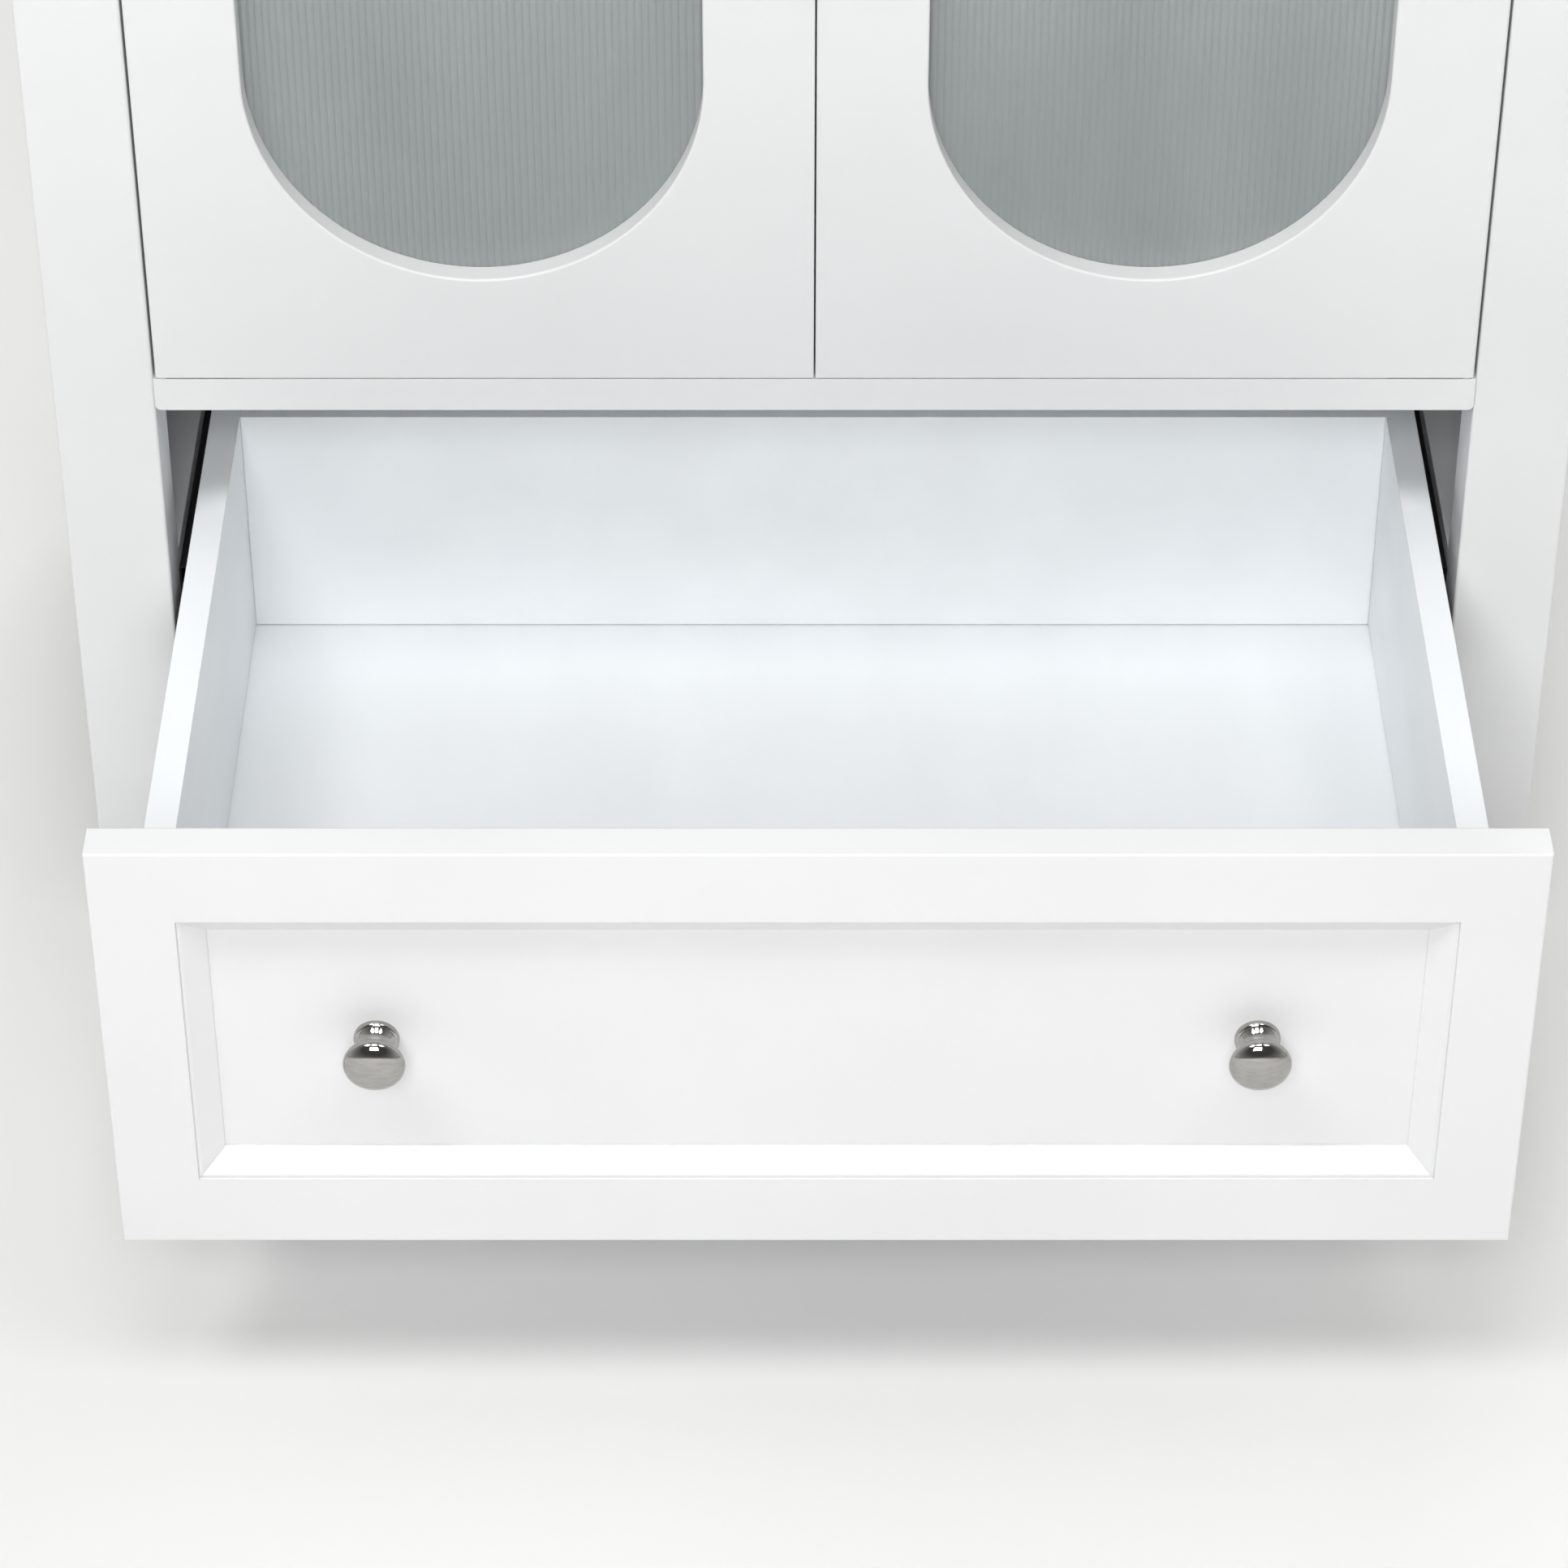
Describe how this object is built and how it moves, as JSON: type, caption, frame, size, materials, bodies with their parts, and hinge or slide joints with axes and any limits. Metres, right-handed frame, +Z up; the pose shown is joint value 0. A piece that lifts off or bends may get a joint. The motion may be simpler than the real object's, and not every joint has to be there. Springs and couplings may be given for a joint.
{
  "type": "two-door storage cabinet with drawer",
  "caption": "Free-standing white storage cabinet with inset doors, pill-shaped reeded glass windows and a deep drawer on ball-bearing slides that stands open.",
  "frame": {"origin": "on the floor, under the middle of the whole object's box with its drawer standing open", "axes": "+X to the right as seen from the front, +Y from the front to the back, +Z up"},
  "size_m": [0.77, 0.866, 0.84],
  "materials": {
    "white_paint": "satin white lacquer on MDF",
    "drawer_white": "cool white melamine board",
    "reeded_glass": "frosted reeded glass",
    "chrome": "polished chrome plate",
    "black_steel": "black electrophoretic coat on pressed steel",
    "zinc_steel": "bright zinc plate",
    "zinc_cast": "as-cast zinc alloy",
    "black_plastic": "moulded black nylon",
    "white_plastic": "moulded white plastic",
    "ferrite": "sintered ferrite",
    "beech_dowel": "fluted beech"
  },
  "bodies": {
    "case": {"back_panel": "white_paint", "base_panel": "white_paint", "case_cams": "zinc_cast", "case_dowels": "beech_dowel", "case_screws": "zinc_steel", "catch_housings": "white_plastic", "catch_magnets": "ferrite", "cupboard_floor": "white_paint", "foot_glides": "white_plastic", "front_leg_left": "white_paint", "front_leg_right": "white_paint", "pivot_pin_plates": "zinc_steel", "pivot_washers": "white_plastic", "rear_leg_left": "white_paint", "rear_leg_right": "white_paint", "rear_rail": "white_paint", "shelf": "white_paint", "shelf_pins": "zinc_steel", "side_panel_left": "white_paint", "side_panel_right": "white_paint", "slide_battens": "white_paint", "slide_outers": "black_steel", "top_panel": "white_paint", "top_rail": "white_paint"},
    "door_left": {"door_knob_left": "chrome", "door_knob_screw_left": "zinc_steel", "door_left": "white_paint", "door_screws_left": "zinc_steel", "glass_clips_left": "black_plastic", "glass_left": "reeded_glass", "pivot_sockets_left": "zinc_steel", "strike_plate_left": "zinc_steel"},
    "door_right": {"door_knob_right": "chrome", "door_knob_screw_right": "zinc_steel", "door_right": "white_paint", "door_screws_right": "zinc_steel", "glass_clips_right": "black_plastic", "glass_right": "reeded_glass", "pivot_sockets_right": "zinc_steel", "strike_plate_right": "zinc_steel"},
    "drawer": {"drawer_back": "drawer_white", "drawer_cams": "zinc_cast", "drawer_dowels": "beech_dowel", "drawer_floor": "drawer_white", "drawer_front_frame": "white_paint", "drawer_front_panel": "white_paint", "drawer_knob_left": "chrome", "drawer_knob_right": "chrome", "drawer_knob_screws": "zinc_steel", "drawer_moulding_rails": "white_paint", "drawer_moulding_stiles": "white_paint", "drawer_side_left": "drawer_white", "drawer_side_right": "drawer_white", "drawer_slide_screws": "zinc_steel", "slide_inners": "black_steel"},
    "slide_middle_left": {"slide_middle_left": "black_steel"},
    "slide_middle_right": {"slide_middle_right": "black_steel"}
  },
  "joints": [
    {"name": "door_left_swing", "type": "hinge", "parent": "case", "child": "door_left", "pos_m": [-0.3203, -0.0655, 0.36], "axis": [0, 0, -1], "range_deg": [0, 100]},
    {"name": "door_right_swing", "type": "hinge", "parent": "case", "child": "door_right", "pos_m": [0.3203, -0.0655, 0.36], "axis": [0, 0, 1], "range_deg": [0, 100]},
    {"name": "drawer_slide", "type": "slide", "parent": "case", "child": "drawer", "axis": [0, -1, 0], "range_m": [-0.35, 0.05]},
    {"name": "slide_middle_left_slide", "type": "slide", "parent": "case", "child": "slide_middle_left", "axis": [0, -1, 0], "range_m": [-0.175, 0.025]},
    {"name": "slide_middle_right_slide", "type": "slide", "parent": "case", "child": "slide_middle_right", "axis": [0, -1, 0], "range_m": [-0.175, 0.025]}
  ],
  "couplings": [
    {"joint": "slide_middle_left_slide", "follows": "drawer_slide", "ratio": 0.5},
    {"joint": "slide_middle_right_slide", "follows": "drawer_slide", "ratio": 0.5}
  ]
}
